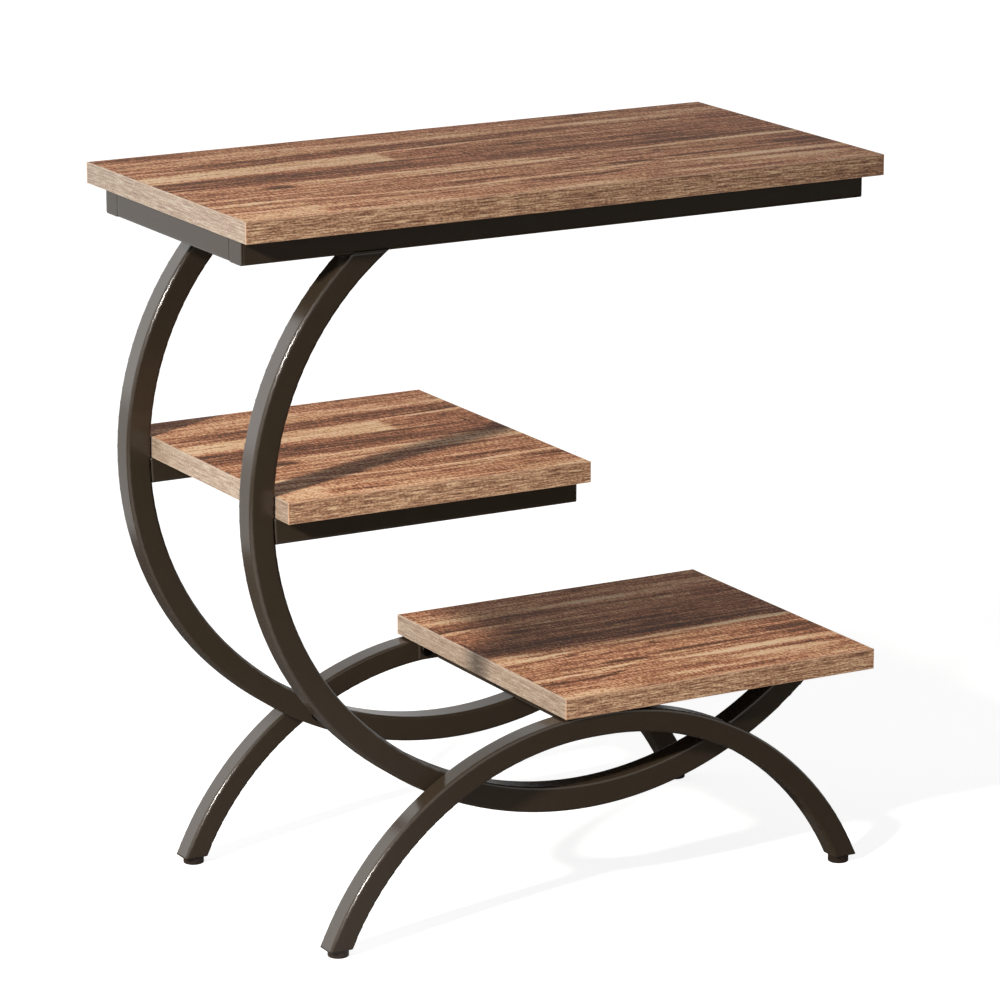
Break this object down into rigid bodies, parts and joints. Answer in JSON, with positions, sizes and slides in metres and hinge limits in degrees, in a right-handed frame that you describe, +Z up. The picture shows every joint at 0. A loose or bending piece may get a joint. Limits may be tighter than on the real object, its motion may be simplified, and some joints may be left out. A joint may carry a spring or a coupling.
{
  "type": "tiered side table",
  "caption": "Side table with a walnut-faced top and two staggered shelves, carried by paired curved bows of square steel tube on crossed base arches with levelling feet.",
  "frame": {"origin": "on the floor, under the middle of the top board, with the feet screwed fully in", "axes": "+X along the boards from the closed side of the bows to their open side, +Y from front to rear, +Z up"},
  "size_m": [0.6, 0.298, 0.6265],
  "materials": {
    "walnut_laminate": "satin walnut plank laminate on a particle board core",
    "walnut_edge_band": "matte printed edge band, lighter than the faces",
    "bronze_powder_coat": "dark bronze-brown satin powder coat on mild steel tube",
    "black_oxide_steel": "black oxide, slightly oily",
    "zinc_plated_steel": "bright zinc plating",
    "foot_plastic": "moulded dark brown nylon",
    "plug_plastic": "moulded black polyethylene"
  },
  "bodies": {
    "table": {"base_crossbar": "bronze_powder_coat", "crossbar_bolts": "black_oxide_steel", "crossbar_nuts": "zinc_plated_steel", "crossing_bolts": "black_oxide_steel", "crossing_nuts": "zinc_plated_steel", "front_arch": "bronze_powder_coat", "front_bow": "bronze_powder_coat", "front_bow_tab": "bronze_powder_coat", "front_crossbar_plate": "bronze_powder_coat", "front_left_leg_plug": "plug_plastic", "front_left_rail_end_plate": "bronze_powder_coat", "front_right_leg_plug": "plug_plastic", "front_right_rail_end_plate": "bronze_powder_coat", "front_shelf_beam": "bronze_powder_coat", "front_shelf_beam_end_plate": "bronze_powder_coat", "front_top_rail": "bronze_powder_coat", "left_end_rail": "bronze_powder_coat", "lower_board": "walnut_laminate", "lower_board_front_edge": "walnut_edge_band", "lower_board_left_edge": "walnut_edge_band", "lower_board_rear_edge": "walnut_edge_band", "lower_board_right_edge": "walnut_edge_band", "lower_board_screws": "zinc_plated_steel", "middle_board": "walnut_laminate", "middle_board_front_edge": "walnut_edge_band", "middle_board_left_edge": "walnut_edge_band", "middle_board_rear_edge": "walnut_edge_band", "middle_board_right_edge": "walnut_edge_band", "middle_board_screws": "zinc_plated_steel", "rear_arch": "bronze_powder_coat", "rear_bow": "bronze_powder_coat", "rear_bow_tab": "bronze_powder_coat", "rear_crossbar_plate": "bronze_powder_coat", "rear_left_leg_plug": "plug_plastic", "rear_left_rail_end_plate": "bronze_powder_coat", "rear_right_leg_plug": "plug_plastic", "rear_right_rail_end_plate": "bronze_powder_coat", "rear_shelf_beam": "bronze_powder_coat", "rear_shelf_beam_end_plate": "bronze_powder_coat", "rear_top_rail": "bronze_powder_coat", "right_end_rail": "bronze_powder_coat", "shelf_crossbar": "bronze_powder_coat", "top_board": "walnut_laminate", "top_board_front_edge": "walnut_edge_band", "top_board_left_edge": "walnut_edge_band", "top_board_rear_edge": "walnut_edge_band", "top_board_right_edge": "walnut_edge_band", "top_board_screws": "zinc_plated_steel"},
    "front_left_foot": {"front_left_foot_pad": "foot_plastic", "front_left_foot_stud": "zinc_plated_steel"},
    "front_right_foot": {"front_right_foot_pad": "foot_plastic", "front_right_foot_stud": "zinc_plated_steel"},
    "rear_left_foot": {"rear_left_foot_pad": "foot_plastic", "rear_left_foot_stud": "zinc_plated_steel"},
    "rear_right_foot": {"rear_right_foot_pad": "foot_plastic", "rear_right_foot_stud": "zinc_plated_steel"}
  },
  "joints": [
    {"name": "front_left_foot_extend", "type": "slide", "parent": "table", "child": "front_left_foot", "axis": [0, 0, -1], "range_m": [0, 0.006]},
    {"name": "front_right_foot_extend", "type": "slide", "parent": "table", "child": "front_right_foot", "axis": [0, 0, -1], "range_m": [0, 0.006]},
    {"name": "rear_left_foot_extend", "type": "slide", "parent": "table", "child": "rear_left_foot", "axis": [0, 0, -1], "range_m": [0, 0.006]},
    {"name": "rear_right_foot_extend", "type": "slide", "parent": "table", "child": "rear_right_foot", "axis": [0, 0, -1], "range_m": [0, 0.006]}
  ]
}
